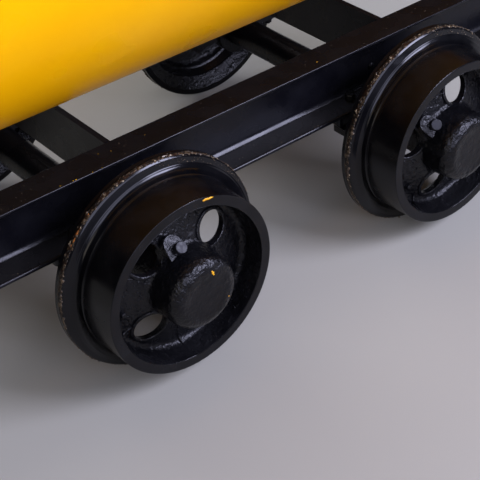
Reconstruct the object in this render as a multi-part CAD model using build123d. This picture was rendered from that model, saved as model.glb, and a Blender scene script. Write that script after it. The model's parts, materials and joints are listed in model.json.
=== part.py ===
from build123d import *
from math import atan, cos, degrees, radians, sin, sqrt, tan
import os

# A side-tipping rail trolley for a narrow-gauge track, in millimetres.
# X runs along the track, Y across it, Z up. Z = 0 is the lowest point of the wheel flanges,
# and X = Y = 0 is the middle of the wheelbase and of the gauge.

# Wheels
tread_diameter = 350.0
flange_height = 35.0
wheel_width = 116.0
flange_thickness = 31.5
flange_rim_width = 21.0
flange_bevel = 11.5
root_radius = 10.0
tread_rise = 2.5
rim_ring_width = 19.0
rim_front_draft = 5.0
rim_back_draft = 9.0
rim_fillet = 12.0
turned_edge = 1.5
back_ring_width = 13.0
back_hollow_depth = 18.0
back_hollow_inset = 7.0  # its foot lies this much inside the tread's radius
web_depth = 38.5        # of its front below the wheel's outer face, at the core holes' middles
web_tilt = 16.5         # the web slopes inwards from the hub to the rim
web_thickness = 10.5
hub_radius = 70.0
hub_draft = 3.0
hub_fillet = 12.0
hub_cap_reach = 38.5
hub_cap_round = 23.0
hub_back_radius = 58.0
hub_back_reach = 6.0
core_hole_diameter = 61.0
core_hole_pitch_radius = 103.0
core_hole_count = 4
core_hole_start = 43.6
lip_width = 7.0
lip_height = 3.2
lip_round = 2.5
lip_trim = 0.5          # what the core hole's cut takes off the lip's inside

# Grease boss on each wheel, with an inclined face shaped like a U, and the plug screwed into it
grease_angle = 104.5
grease_pitch_radius = 97.0
grease_turn = 12.0      # its slope points this much beside the wheel's own radius
grease_tilt = 42.0
boss_half_width = 18.0
boss_rim_reach = 21.0
boss_hub_reach = 21.0
boss_depth = 13.3       # of its face's middle below the wheel's outer face
boss_length = 40.0
boss_edge = 1.5
boss_hollow_radius = 86.0  # round the wheel's axis, above the next height
boss_hollow_height = -25.0
plug_radius = 11.0
plug_reach = 12.5
plug_seat_depth = 9.0
plug_hub_offset = 8.0
plug_side_offset = 6.0

# Axles and wheelbase
wheelbase = 670.0
back_to_back = 692.0
axle_diameter = 70.0
journal_diameter = 60.0
journal_clearance = 0.1
journal_end_gap = 1.0
hub_wall = 28.0

# Main frame
beam_height = 140.0
beam_flange = 65.0
beam_web = 8.0
beam_flange_thickness = 10.0  # at half the flange's width
beam_flange_taper = 0.08
beam_root_radius = 10.0
beam_toe_radius = 4.5
beam_edge_radius = 2.0
beam_outer_y = 299.0
frame_top = 403.0
cross_plate_thickness = 12.0
cross_plate_height = 110.0
coping_gap = 1.0

# Axle pedestals under the beams
pedestal_top_half = 170.0
pedestal_foot = 14.0
pedestal_web = 18.0
pedestal_boss_radius = 56.0
pedestal_boss_width = 78.0
axle_clearance = 0.3
keeper_thickness = 14.0
ear_half_length = 131.0
ear_thickness = 16.0
casting_corner = 10.0
casting_edge = 3.0

# Buffers with a coupling mouth
buffer_width = 220.0
buffer_height = 120.0
buffer_reach = 72.0
buffer_round = 30.0
buffer_edge = 12.0
mouth_width = 130.0
mouth_height = 40.0
mouth_depth = 54.0
coupling_pin_radius = 18.0
coupling_pin_setback = 35.0

# Tub
tub_radius = 460.0
tub_plate = 5.0
tub_floor_gap = 46.0    # from the frame's top to the tub
tub_wall_rise = 340.0
tub_length = 1300.0
rim_angle = 45.0
rim_thickness = 6.0
trunnion_diameter = 60.0
trunnion_reach = 86.0
trunnion_flange_diameter = 220.0
trunnion_flange_thickness = 12.0
end_bar_width = 70.0
end_bar_thickness = 8.0
end_bar_floor_gap = 69.0
end_bar_rim_gap = 4.0
end_bar_wall_gap = 45.0

# Stops on the tub's ends, which meet the stand legs when it is tipped
tip_angle = 50.0
stop_gap = 6.0
stop_width = 60.0
stop_thickness = 16.0
stop_overlap = 30.0
stop_wall_gap = 60.0

# Tub stands on the ends of the frame
stand_gap = 12.0
stand_plate = 12.0
stand_setback = 138.0   # from the frame's end
stand_head_width = 170.0
stand_head_drop = 150.0
stand_head_rise = 72.0
stand_head_bevel = 45.0
stand_head_round = 22.0
stand_foot_y = 296.0
stand_leg_width = 60.0
stand_leg_flange = 52.0
stand_leg_thickness = 7.0
stand_base_length = 126.0
stand_base_thickness = 12.0
bearing_radius = 58.0
bearing_width = 50.0
bearing_clearance = 0.3
bearing_collar = 12.0
pin_chamfer = 2.5

# Places worked out from the sizes above
tread_radius = tread_diameter / 2
flange_radius = tread_radius + flange_height
axle_height = flange_radius
wheel_outer_y = back_to_back / 2 + wheel_width
axle_x = wheelbase / 2
beam_back_y = beam_outer_y - beam_flange
beam_centre_y = beam_outer_y - beam_flange / 2
frame_bottom = frame_top - beam_height
frame_middle = frame_top - beam_height / 2
tub_axis_height = frame_top + tub_floor_gap + tub_radius
tub_end = tub_length / 2
stand_x = tub_end + end_bar_thickness + trunnion_flange_thickness + stand_gap
stand_foot_z = frame_top + stand_base_thickness
stand_lean = (stand_foot_y - stand_head_width / 2) / (tub_axis_height - stand_foot_z)
frame_end = stand_x + stand_setback
beam_end = frame_end - beam_web


def rounded_face(rows):
    """A closed face on the XZ plane from rows of (x, z, corner radius)."""
    face = make_face(Plane.XZ * Polyline([(x, z) for x, z, _ in rows], close=True))
    for x, z, corner in rows:
        if corner > 0:
            nearest = face.vertices().sort_by_distance((x, 0, z))[0]
            face = fillet(nearest, corner)
    return face


def flange_thickness_at(y):
    """Thickness of the channel's tapered flange, at a distance from its back."""
    return beam_flange_thickness - beam_flange_taper * (y - beam_flange / 2)


def channel(length):
    """A rolled channel along X: back at Y = 0, flanges towards +Y, middle of its depth at Z = 0."""
    half = beam_height / 2
    toe = half - flange_thickness_at(beam_flange)
    root = half - flange_thickness_at(beam_web)
    rows = [
        # y, z, corner radius
        (0, -half, beam_edge_radius),
        (beam_flange, -half, beam_edge_radius),
        (beam_flange, -toe, beam_toe_radius),
        (beam_web, -root, beam_root_radius),
        (beam_web, root, beam_root_radius),
        (beam_flange, toe, beam_toe_radius),
        (beam_flange, half, beam_edge_radius),
        (0, half, beam_edge_radius),
    ]
    section = rounded_face(rows).rotate(Axis.Z, 90)
    return extrude(section, amount=length / 2, dir=(1, 0, 0), both=True)


def wheel_seat(x, side, turned):
    """The plane of a wheel's outer face, its own Z pointing out of the trolley."""
    seat = Plane(origin=(x, side * wheel_outer_y, axle_height), x_dir=(-side, 0, 0), z_dir=(0, side, 0))
    return seat * Rot(0, 0, turned)


def web_front(r):
    """Height of the dished web's front out of the wheel's outer face, at a distance from its axis."""
    return -web_depth - tan(radians(web_tilt)) * (r - core_hole_pitch_radius)


def web_back(r):
    return web_front(r) - web_thickness


def wheel_profile():
    """Half section of a wheel: distance from its axis, height out of its outer face, corner radius."""
    ring_inner = tread_radius - rim_ring_width
    front_corner = ring_inner - rim_front_draft
    back_corner = ring_inner - rim_back_draft
    front_foot = hub_radius + hub_draft
    back_foot = hub_back_radius + hub_draft
    root = flange_thickness - wheel_width
    hollow_foot = tread_radius - back_hollow_inset
    rows = [
        (0, hub_cap_reach, 0),
        (hub_radius, hub_cap_reach, hub_cap_round),
        (front_foot, web_front(front_foot), hub_fillet),
        (front_corner, web_front(front_corner), rim_fillet),
        (ring_inner, 0, turned_edge),
        (tread_radius, 0, turned_edge),
        (tread_radius + tread_rise, root, root_radius),
        (flange_radius - flange_bevel, root, turned_edge),
        (flange_radius, flange_rim_width - wheel_width, turned_edge),
        (flange_radius, -wheel_width, turned_edge),
        (flange_radius - back_ring_width, -wheel_width, turned_edge),
        (hollow_foot, back_hollow_depth - wheel_width, rim_fillet),
        (back_corner, web_back(back_corner), rim_fillet),
        (back_foot, web_back(back_foot), hub_fillet),
        (hub_back_radius, -wheel_width - hub_back_reach, turned_edge),
        (0, -wheel_width - hub_back_reach, 0),
    ]
    return rounded_face(rows)


def make_lip():
    """The rounded lip in front of one core hole, which follows the web's slope."""
    reach = core_hole_diameter / 2 + lip_width
    inner = core_hole_pitch_radius - reach - lip_width
    outer = core_hole_pitch_radius + reach + lip_width
    rows = [
        # distance from the wheel's axis, height out of its outer face, corner radius
        (inner, web_front(inner) + lip_height, 0),
        (outer, web_front(outer) + lip_height, 0),
        (outer, web_front(outer) - web_thickness / 2, 0),
        (inner, web_front(inner) - web_thickness / 2, 0),
    ]
    band = revolve(rounded_face(rows), Axis.Z)
    tube = Cylinder(reach, 2 * wheel_width) - Cylinder(core_hole_diameter / 2 - lip_trim, 2 * wheel_width)
    lip = band & (Pos(core_hole_pitch_radius, 0, 0) * tube)
    return fillet(lip.faces().sort_by(Axis.Z)[-1].edges(), lip_round)


def grease_seat():
    """The plane of the grease boss's face: its own Z leans from outward to the rim, its own Y points to the hub."""
    spot = radians(grease_angle)
    heading = radians(grease_angle - grease_turn)
    tilt = radians(grease_tilt)
    slope = Vector(cos(heading), sin(heading), 0)
    out = Vector(0, 0, 1)
    middle = Vector(cos(spot), sin(spot), 0) * grease_pitch_radius - out * boss_depth
    return Plane(origin=middle, x_dir=out.cross(slope), z_dir=slope * sin(tilt) + out * cos(tilt))


def make_grease_boss():
    straight = boss_rim_reach - boss_half_width + boss_hub_reach
    face = Circle(boss_half_width) + Pos(0, straight / 2) * Rectangle(2 * boss_half_width, straight)
    boss = extrude(Pos(0, boss_half_width - boss_rim_reach) * face, amount=-boss_length)
    boss = grease_seat() * fillet(boss.faces().sort_by(Axis.Z)[-1].edges(), boss_edge)
    hollow = Cylinder(boss_hollow_radius, 2 * wheel_width, align=(Align.CENTER, Align.CENTER, Align.MIN))
    return boss - Pos(0, 0, boss_hollow_height) * hollow


def make_wheel():
    core_holes = PolarLocations(0, core_hole_count, core_hole_start)
    wheel = revolve(wheel_profile(), Axis.Z)
    lip = make_lip()
    for turn in core_holes:
        wheel += turn * lip
    wheel += make_grease_boss()
    hole = Pos(core_hole_pitch_radius, 0, 0) * Cylinder(core_hole_diameter / 2, 2 * wheel_width)
    for turn in core_holes:
        wheel -= turn * hole
    wheel -= plug_place() * Cylinder(plug_radius, plug_seat_depth, align=(Align.CENTER, Align.CENTER, Align.MAX))
    bore_length = wheel_width + hub_back_reach + hub_cap_reach - hub_wall
    bore = Cylinder(journal_diameter / 2 + journal_clearance, bore_length, align=(Align.CENTER, Align.CENTER, Align.MIN))
    return wheel - Pos(0, 0, -wheel_width - hub_back_reach) * bore


def plug_place():
    """The frame of the plug on the boss's face."""
    return grease_seat() * Pos(-plug_side_offset, plug_hub_offset, 0)


def make_grease_plug():
    plug = Cylinder(plug_radius, plug_seat_depth + plug_reach, align=(Align.CENTER, Align.CENTER, Align.MIN))
    plug = fillet(plug.edges().sort_by(Axis.Z)[-1], boss_edge)
    return plug_place() * Pos(0, 0, -plug_seat_depth) * plug


def make_axle():
    """A round axle along Y with a smaller journal in each wheel's hub."""
    shoulder = back_to_back / 2 - hub_back_reach
    journal_end = wheel_outer_y + hub_cap_reach - hub_wall - journal_end_gap
    body = Cylinder(axle_diameter / 2, 2 * shoulder)
    journals = Cylinder(journal_diameter / 2, 2 * journal_end)
    journals = chamfer(journals.edges().filter_by(GeomType.CIRCLE), pin_chamfer)
    return Rot(90, 0, 0) * (body + journals)


def make_side_beam(side):
    """A channel with its flanges outwards, coped at both ends so that its web reaches into the end beams."""
    beam = channel(2 * beam_end)
    cope_length = beam_flange - beam_web
    tongue_height = beam_height - 2 * flange_thickness_at(beam_web) - 2 * coping_gap
    tongue = Box(cope_length, 4 * beam_web, tongue_height)
    for end in (-1, 1):
        end_face = tongue.faces().sort_by(Axis.X)[0 if end < 0 else -1]
        core = fillet(end_face.edges().filter_by(Axis.Y), beam_root_radius)
        notch = Box(cope_length, 4 * beam_flange, 2 * beam_height) - core
        beam -= Pos(end * (beam_end - cope_length / 2), 0, 0) * notch
    beam = Pos(0, beam_back_y, frame_middle) * beam
    return beam if side > 0 else beam.mirror(Plane.XZ)


def make_end_beam(end):
    """A channel across the frame's end, its back outwards."""
    beam = Rot(0, 0, 90) * channel(2 * beam_outer_y)
    beam = Pos(frame_end, 0, frame_middle) * beam
    return beam if end > 0 else beam.mirror(Plane.YZ)


def make_cross_plate(end):
    plate = Box(cross_plate_thickness, 2 * beam_back_y, cross_plate_height)
    return Pos(end * axle_x, 0, frame_top - cross_plate_height / 2) * plate


def make_pedestal(end, side):
    """A cast bracket under the beam: foot, tapered web and the upper half of the axle's boss."""
    drop = frame_bottom - axle_height
    rows = [
        # x, z from the axle's middle, corner radius
        (-pedestal_top_half, drop, 0),
        (-pedestal_top_half, drop - pedestal_foot, casting_edge),
        (-ear_half_length, 0, 0),
        (ear_half_length, 0, 0),
        (pedestal_top_half, drop - pedestal_foot, casting_edge),
        (pedestal_top_half, drop, 0),
    ]
    web = extrude(rounded_face(rows), amount=pedestal_web / 2, both=True)
    foot = Pos(0, 0, drop - pedestal_foot / 2) * Box(2 * pedestal_top_half, beam_flange, pedestal_foot)
    foot = fillet(foot.edges().filter_by(Axis.Z), casting_corner)
    boss = Rot(90, 0, 0) * Cylinder(pedestal_boss_radius, pedestal_boss_width)
    half = Box(4 * pedestal_top_half, 4 * pedestal_boss_width, drop, align=(Align.CENTER, Align.CENTER, Align.MIN))
    ears = Pos(0, 0, ear_thickness / 2) * Box(2 * ear_half_length, beam_flange, ear_thickness)
    ears = fillet(ears.edges().filter_by(Axis.Z), casting_corner)
    block = (web + boss + foot + ears) & half
    block -= Rot(90, 0, 0) * Cylinder(axle_diameter / 2 + axle_clearance, 2 * pedestal_boss_width)
    return Pos(end * axle_x, side * beam_centre_y, axle_height) * block


def make_keeper(end, side):
    """The strap bolted under a pedestal's ears, holding the axle up in its boss."""
    boss = Rot(90, 0, 0) * Cylinder(pedestal_boss_radius, pedestal_boss_width)
    strap = Box(2 * ear_half_length, beam_flange, keeper_thickness, align=(Align.CENTER, Align.CENTER, Align.MAX))
    strap = fillet(strap.edges().filter_by(Axis.Z), casting_corner)
    half = Box(4 * ear_half_length, 4 * pedestal_boss_width, 2 * pedestal_boss_radius,
               align=(Align.CENTER, Align.CENTER, Align.MAX))
    block = (boss + strap) & half
    block -= Rot(90, 0, 0) * Cylinder(axle_diameter / 2 + axle_clearance, 2 * pedestal_boss_width)
    return Pos(end * axle_x, side * beam_centre_y, axle_height) * block


def make_buffer(end):
    """A cast buffer on the end beam: rounded nose, mouth for a coupling link, hole for its pin."""
    nose = Pos(buffer_reach / 2, 0, 0) * Box(buffer_reach, buffer_width, buffer_height)
    front = nose.edges().filter_by(Axis.Z).group_by(Axis.X)[-1]
    nose = fillet(front, buffer_round)
    nose = fillet(nose.faces().sort_by(Axis.X)[-1].edges().filter_by(Axis.Y), buffer_edge)
    mouth = Pos(buffer_reach - mouth_depth / 2, 0, 0) * Box(mouth_depth, mouth_width, mouth_height)
    pin = Pos(buffer_reach - coupling_pin_setback, 0, 0) * Cylinder(coupling_pin_radius, 2 * buffer_height)
    buffer = Pos(frame_end, 0, frame_middle) * (nose - mouth - pin)
    return buffer if end > 0 else buffer.rotate(Axis.Z, 180)


def tub_section(radius):
    """The trough's outline across the track: a half circle below its axis and upright walls above it."""
    low = Circle(radius) & Pos(0, -radius) * Rectangle(2 * radius, 2 * radius)
    walls = Pos(0, tub_wall_rise / 2) * Rectangle(2 * radius, tub_wall_rise)
    return Plane.YZ * (low + walls)


def make_tub_shell():
    """The bent plate of the trough, open above, between the two end plates."""
    outer = extrude(tub_section(tub_radius), amount=tub_end - tub_plate, both=True)
    inner_sketch = Plane.YZ * (
        (Circle(tub_radius - tub_plate) & Pos(0, -tub_radius) * Rectangle(2 * tub_radius, 2 * tub_radius))
        + Pos(0, tub_wall_rise) * Rectangle(2 * (tub_radius - tub_plate), 2 * tub_wall_rise)
    )
    inner = extrude(inner_sketch, amount=tub_end, both=True)
    return Pos(0, 0, tub_axis_height) * (outer - inner)


def make_tub_end(end):
    plate = extrude(tub_section(tub_radius), amount=tub_plate)
    plate = Pos(tub_end - tub_plate, 0, tub_axis_height) * plate
    return plate if end > 0 else plate.mirror(Plane.YZ)


def make_tub_rim():
    """An angle round the trough's mouth, one leg on the walls' outside and one leg turned out."""
    top = tub_axis_height + tub_wall_rise
    leg = Box(tub_length + 2 * rim_thickness, 2 * tub_radius + 2 * rim_thickness, rim_angle,
              align=(Align.CENTER, Align.CENTER, Align.MAX))
    shelf = Box(tub_length + 2 * rim_angle, 2 * tub_radius + 2 * rim_angle, rim_thickness,
                align=(Align.CENTER, Align.CENTER, Align.MAX))
    hole = Box(tub_length, 2 * tub_radius, 4 * rim_angle)
    return Pos(0, 0, top) * (leg + shelf - hole)


def make_stop(side):
    """A lug on the tub's end. Its lower face lies along the stand leg when the tub is tipped that way."""
    leg_angle = degrees(atan(stand_lean))
    leg_distance = stand_head_width / 2 * cos(radians(leg_angle))
    length = stand_x + stop_overlap - tub_end
    lug = Box(length, stop_width, stop_thickness, align=(Align.MIN, Align.CENTER, Align.MIN))
    lug = Pos(0, tub_radius - stop_wall_gap - stop_width / 2, leg_distance + stop_gap) * lug
    lug = Rot(leg_angle + tip_angle - 90, 0, 0) * lug
    return lug if side > 0 else lug.mirror(Plane.XZ)


def make_end_bar(end):
    """The cross of flat bars that stiffens a tub end and carries the trunnion, with a stop at each side."""
    top = tub_wall_rise - rim_angle - end_bar_rim_gap
    bottom = end_bar_floor_gap - tub_radius
    upright = Pos(0, 0, bottom) * Box(
        end_bar_thickness, end_bar_width, top - bottom, align=(Align.MIN, Align.CENTER, Align.MIN))
    across = Box(end_bar_thickness, 2 * (tub_radius - end_bar_wall_gap), end_bar_width,
                 align=(Align.MIN, Align.CENTER, Align.CENTER))
    bar = Pos(tub_end, 0, tub_axis_height) * (upright + across + make_stop(1) + make_stop(-1))
    return bar if end > 0 else bar.mirror(Plane.YZ)


def make_trunnion(end):
    """A round flange with the pin that the tub swings on."""
    flange = Cylinder(trunnion_flange_diameter / 2, trunnion_flange_thickness, align=(Align.CENTER, Align.CENTER, Align.MIN))
    pin = Cylinder(trunnion_diameter / 2, trunnion_flange_thickness + trunnion_reach, align=(Align.CENTER, Align.CENTER, Align.MIN))
    pin = chamfer(pin.edges().sort_by(Axis.Z)[-1], pin_chamfer)
    seat = Plane(origin=(tub_end + end_bar_thickness, 0, tub_axis_height), z_dir=(1, 0, 0))
    trunnion = seat * (flange + pin)
    return trunnion if end > 0 else trunnion.mirror(Plane.YZ)


def make_stand_head(end):
    """The plate between the tops of a stand's legs, with the hole that the bearing sits in."""
    half = stand_head_width / 2
    rows = [
        # y, z from the tub's axis, corner radius
        (-half, -stand_head_drop, 0),
        (half, -stand_head_drop, 0),
        (half, 0, 0),
        (half - stand_head_bevel, stand_head_rise, stand_head_round),
        (stand_head_bevel - half, stand_head_rise, stand_head_round),
        (-half, 0, 0),
    ]
    face = rounded_face(rows).rotate(Axis.Z, 90)
    head = extrude(face, amount=stand_plate, dir=(1, 0, 0))
    head -= Rot(0, 90, 0) * Cylinder(bearing_radius, 4 * stand_plate)
    head = Pos(stand_x, 0, tub_axis_height) * head
    return head if end > 0 else head.mirror(Plane.YZ)


def make_bearing(end):
    """The plain bearing that a trunnion turns in, with a collar against the stand head's outer side."""
    ring = Cylinder(bearing_radius, bearing_width, align=(Align.CENTER, Align.CENTER, Align.MIN))
    collar = Cylinder(bearing_radius + bearing_collar, bearing_width - stand_plate,
                      align=(Align.CENTER, Align.CENTER, Align.MIN))
    ring += Pos(0, 0, stand_plate) * collar
    ring -= Cylinder(trunnion_diameter / 2 + bearing_clearance, 4 * bearing_width)
    bearing = Pos(stand_x, 0, tub_axis_height) * Rot(0, 90, 0) * ring
    return bearing if end > 0 else bearing.mirror(Plane.YZ)


def make_stand_leg(end, side):
    """An angle-iron leg from the side beam's top up to the stand's head, on its own base plate."""
    top_z = tub_axis_height - stand_head_drop
    half = stand_head_width / 2
    across = stand_leg_width * sqrt(1 + stand_lean ** 2)

    def outer_y(z):
        return half + (tub_axis_height - z) * stand_lean

    web_rows = [
        # y, z, corner radius
        (outer_y(stand_foot_z), stand_foot_z, 0),
        (outer_y(tub_axis_height), tub_axis_height, 0),
        (half, top_z, 0),
        (outer_y(top_z) - across, top_z, 0),
        (outer_y(stand_foot_z) - across, stand_foot_z, 0),
    ]
    skin = stand_leg_thickness * sqrt(1 + stand_lean ** 2)
    skin_top = tub_axis_height - skin / stand_lean
    flange_rows = [
        (outer_y(stand_foot_z), stand_foot_z, 0),
        (outer_y(skin_top), skin_top, 0),
        (outer_y(skin_top) - skin, skin_top, 0),
        (outer_y(stand_foot_z) - skin, stand_foot_z, 0),
    ]
    web = extrude(rounded_face(web_rows).rotate(Axis.Z, 90), amount=stand_plate, dir=(1, 0, 0))
    flange = extrude(rounded_face(flange_rows).rotate(Axis.Z, 90), amount=stand_leg_flange, dir=(1, 0, 0))
    leg = Pos(stand_x, 0, 0) * (web + flange)
    base = Pos(stand_x + stand_leg_flange / 2, beam_centre_y, frame_top) * Box(
        stand_base_length, beam_flange, stand_base_thickness, align=(Align.CENTER, Align.CENTER, Align.MIN))
    leg += base
    if side < 0:
        leg = leg.mirror(Plane.XZ)
    return leg if end > 0 else leg.mirror(Plane.YZ)


ends = {"rear": -1, "front": 1}
sides = {"near": -1, "far": 1}
wheel_turns = {
    # casting angle of each wheel about its own axle
    ("rear", "near"): 0.0,
    ("front", "near"): 32.0,
    ("rear", "far"): 25.0,
    ("front", "far"): 181.0,
}

nodes = {}
wheel = make_wheel()
plug = make_grease_plug()
axle = make_axle()
for end_name, end in ends.items():
    nodes[f"axle_{end_name}"] = Pos(end * axle_x, 0, axle_height) * axle
    nodes[f"cross_plate_{end_name}"] = make_cross_plate(end)
    nodes[f"end_beam_{end_name}"] = make_end_beam(end)
    nodes[f"buffer_{end_name}"] = make_buffer(end)
    nodes[f"stand_head_{end_name}"] = make_stand_head(end)
    nodes[f"trunnion_bearing_{end_name}"] = make_bearing(end)
    nodes[f"tub_end_{end_name}"] = make_tub_end(end)
    nodes[f"tub_end_bar_{end_name}"] = make_end_bar(end)
    nodes[f"trunnion_{end_name}"] = make_trunnion(end)
    for side_name, side in sides.items():
        seat = wheel_seat(end * axle_x, side, wheel_turns[end_name, side_name])
        nodes[f"wheel_{end_name}_{side_name}"] = seat * wheel
        nodes[f"grease_plug_{end_name}_{side_name}"] = seat * plug
        nodes[f"pedestal_{end_name}_{side_name}"] = make_pedestal(end, side)
        nodes[f"axle_keeper_{end_name}_{side_name}"] = make_keeper(end, side)
        nodes[f"stand_leg_{end_name}_{side_name}"] = make_stand_leg(end, side)
for side_name, side in sides.items():
    nodes[f"side_beam_{side_name}"] = make_side_beam(side)
nodes["tub_shell"] = make_tub_shell()
nodes["tub_rim"] = make_tub_rim()

os.makedirs("parts", exist_ok=True)
for name, shape in nodes.items():
    export_step(shape, f"parts/{name}.step")
print(len(nodes), "nodes")
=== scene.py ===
import json
import math
import random
import bpy
from mathutils import Matrix, Vector


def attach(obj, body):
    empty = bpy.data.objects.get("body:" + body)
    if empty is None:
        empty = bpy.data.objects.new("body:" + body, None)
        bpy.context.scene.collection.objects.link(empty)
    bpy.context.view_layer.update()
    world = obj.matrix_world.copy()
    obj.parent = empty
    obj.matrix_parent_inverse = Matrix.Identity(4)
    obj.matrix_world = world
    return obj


# A side-tipping rail trolley: black channel frame, cast flanged wheels, yellow tub.
# X runs along the track, Y across it, Z up, all in metres.

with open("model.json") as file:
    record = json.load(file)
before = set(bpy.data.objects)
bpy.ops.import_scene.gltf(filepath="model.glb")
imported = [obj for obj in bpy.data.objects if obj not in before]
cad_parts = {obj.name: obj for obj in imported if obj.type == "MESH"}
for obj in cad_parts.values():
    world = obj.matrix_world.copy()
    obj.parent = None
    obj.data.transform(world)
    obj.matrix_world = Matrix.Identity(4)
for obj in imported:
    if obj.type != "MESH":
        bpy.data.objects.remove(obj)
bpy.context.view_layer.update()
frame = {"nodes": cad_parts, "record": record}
nodes = frame["nodes"]
ends = {"rear": -1, "front": 1}
sides = {"near": -1, "far": 1}
bpy.ops.object.select_all(action="DESELECT")
print("frame:", len(nodes), "CAD nodes")


# Small helpers

def linear(code):
    values = []
    for start in (1, 3, 5):
        part = int(code[start:start + 2], 16) / 255
        values.append(part / 12.92 if part <= 0.04045 else ((part + 0.055) / 1.055) ** 2.4)
    return (*values, 1.0)


def addNode(tree, kind, settings=None, links=None):
    node = tree.nodes.new(kind)
    for name, value in (settings or {}).items():
        setattr(node, name, value)
    for name, value in (links or {}).items():
        if isinstance(value, bpy.types.NodeSocket):
            tree.links.new(value, node.inputs[name])
        else:
            node.inputs[name].default_value = value
    return node


def activate(piece):
    if bpy.context.object and bpy.context.object.mode != "OBJECT":
        bpy.ops.object.mode_set(mode="OBJECT")
    bpy.ops.object.select_all(action="DESELECT")
    piece.select_set(True)
    bpy.context.view_layer.objects.active = piece


def pick(piece, kind, wanted):
    # selects the vertices, edges or faces of a mesh that a rule names, and opens edit mode
    activate(piece)
    bpy.context.tool_settings.mesh_select_mode = (kind == "vertices", kind == "edges", kind == "faces")
    for group in (piece.data.vertices, piece.data.edges, piece.data.polygons):
        group.foreach_set("select", [False] * len(group))
    for part in getattr(piece.data, "polygons" if kind == "faces" else kind):
        part.select = wanted(part)
    bpy.ops.object.mode_set(mode="EDIT")


def copyOf(piece, place):
    twin = piece.copy()
    twin.data = piece.data.copy()
    bpy.context.scene.collection.objects.link(twin)
    twin.matrix_world = place
    return twin


def joined(pieces):
    activate(pieces[0])
    for piece in pieces:
        piece.select_set(True)
    bpy.ops.object.join()
    return bpy.context.object


def finished(piece, name, material, body):
    # settles the place in the mesh, and gives the piece its finish and its body
    activate(piece)
    bpy.ops.object.transform_apply(location=True, rotation=True, scale=True)
    piece.name = name
    piece.data.name = name
    piece.data.materials.clear()
    piece.data.materials.append(material)
    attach(piece, body)


# Camera, fitted to the photograph's wheels, beam and axle

cameraSizes = {
    "place": (-1.2938, -1.8469, 1.5632),
    "yaw": 37.582,    # degrees to the right of straight across the track
    "down": 36.783,
    "roll": -3.360,
    "lens": 93.14,    # on a sensor 36 mm wide
}


def makeCamera(sizes):
    yaw, down, roll = (math.radians(sizes[key]) for key in ("yaw", "down", "roll"))
    ahead = Vector((math.sin(yaw) * math.cos(down), math.cos(yaw) * math.cos(down), -math.sin(down)))
    level = ahead.cross(Vector((0, 0, 1))).normalized()
    upright = level.cross(ahead)
    right = level * math.cos(roll) + upright * math.sin(roll)
    up = upright * math.cos(roll) - level * math.sin(roll)
    data = bpy.data.cameras.new("camera")
    data.lens = sizes["lens"]
    data.sensor_width = 36
    data.clip_start = 0.05
    data.clip_end = 100
    camera = bpy.data.objects.new("camera", data)
    turn = Matrix((right, up, -ahead)).transposed().to_4x4()
    camera.matrix_world = Matrix.Translation(sizes["place"]) @ turn
    bpy.context.scene.collection.objects.link(camera)
    bpy.context.scene.camera = camera


makeCamera(cameraSizes)
print("camera: placed")


# Floor and light

floorSizes = {
    "seen": "#9d9b90",      # what the camera, gloss and glass see
    "bounce": "#553c22",    # what lights the underside of the object
    "side": 24.0,
    "roughness": 0.85,
}
lightSizes = {
    "world": ("#dfe4ee", 0.07),
    "lamps": [
        # name, place, aims at, width, height, watts, colour
        ("window", (2.03, -3.35, 2.95), (0.0, -0.25, 0.3), 2.05, 1.9, 345, "#dcdeff"),
        ("wall", (-0.85, -3.75, 2.15), (-0.1, -0.3, 0.3), 3.6, 2.2, 118, "#dcdeff"),
        ("ceiling", (-0.4, 1.4, 4.4), (0.0, 0.0, 0.4), 3.0, 3.0, 40, "#f4f3ff"),
        ("fill", (-3.6, -2.2, 1.9), (0.0, 0.0, 0.6), 1.8, 1.8, 20, "#fff4e6"),
        ("behind", (0.0, 4.3, 1.9), (0.0, 0.3, 0.6), 2.8, 1.8, 190, "#f2f2ff"),
    ],
}


def makeFloor(sizes):
    bpy.ops.mesh.primitive_plane_add(size=sizes["side"], location=(0, 0, 0))
    floor = bpy.context.object
    floor.name = "floor"
    material, tree, shader = newMaterial("paleFloor")
    rays = addNode(tree, "ShaderNodeLightPath").outputs
    seen = calc(tree, "MAXIMUM", rays["Is Camera Ray"], rays["Is Glossy Ray"])
    seen = calc(tree, "MAXIMUM", seen, rays["Is Transmission Ray"])
    tree.links.new(blendColour(tree, seen, sizes["bounce"], sizes["seen"]), shader.inputs["Base Color"])
    shader.inputs["Roughness"].default_value = sizes["roughness"]
    shader.inputs["Specular IOR Level"].default_value = 0.1
    floor.data.materials.append(material)


def makeLights(sizes):
    world = bpy.data.worlds.new("studio")
    bpy.context.scene.world = world
    world.use_nodes = True
    colour, strength = sizes["world"]
    background = world.node_tree.nodes["Background"]
    background.inputs["Color"].default_value = linear(colour)
    background.inputs["Strength"].default_value = strength
    for name, place, aim, width, height, watts, lampColour in sizes["lamps"]:
        data = bpy.data.lights.new(name, "AREA")
        data.shape = "RECTANGLE"
        data.size = width
        data.size_y = height
        data.energy = watts
        data.color = linear(lampColour)[:3]
        lamp = bpy.data.objects.new(name, data)
        lamp.visible_camera = False
        lamp.location = place
        lamp.rotation_euler = (Vector(aim) - Vector(place)).to_track_quat("-Z", "Y").to_euler()
        bpy.context.scene.collection.objects.link(lamp)


# Materials

def newMaterial(name):
    material = bpy.data.materials.new(name)
    material.use_nodes = True
    return material, material.node_tree, material.node_tree.nodes["Principled BSDF"]


def objectPlace(tree):
    return addNode(tree, "ShaderNodeTexCoord").outputs["Object"]


def axesOf(tree, place):
    return addNode(tree, "ShaderNodeSeparateXYZ", None, {"Vector": place}).outputs


def calc(tree, operation, *values):
    return addNode(tree, "ShaderNodeMath", {"operation": operation}, dict(enumerate(values))).outputs[0]


def times(tree, first, second):
    return calc(tree, "MULTIPLY", first, second)


def plus(tree, first, second):
    return calc(tree, "ADD", first, second)


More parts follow.
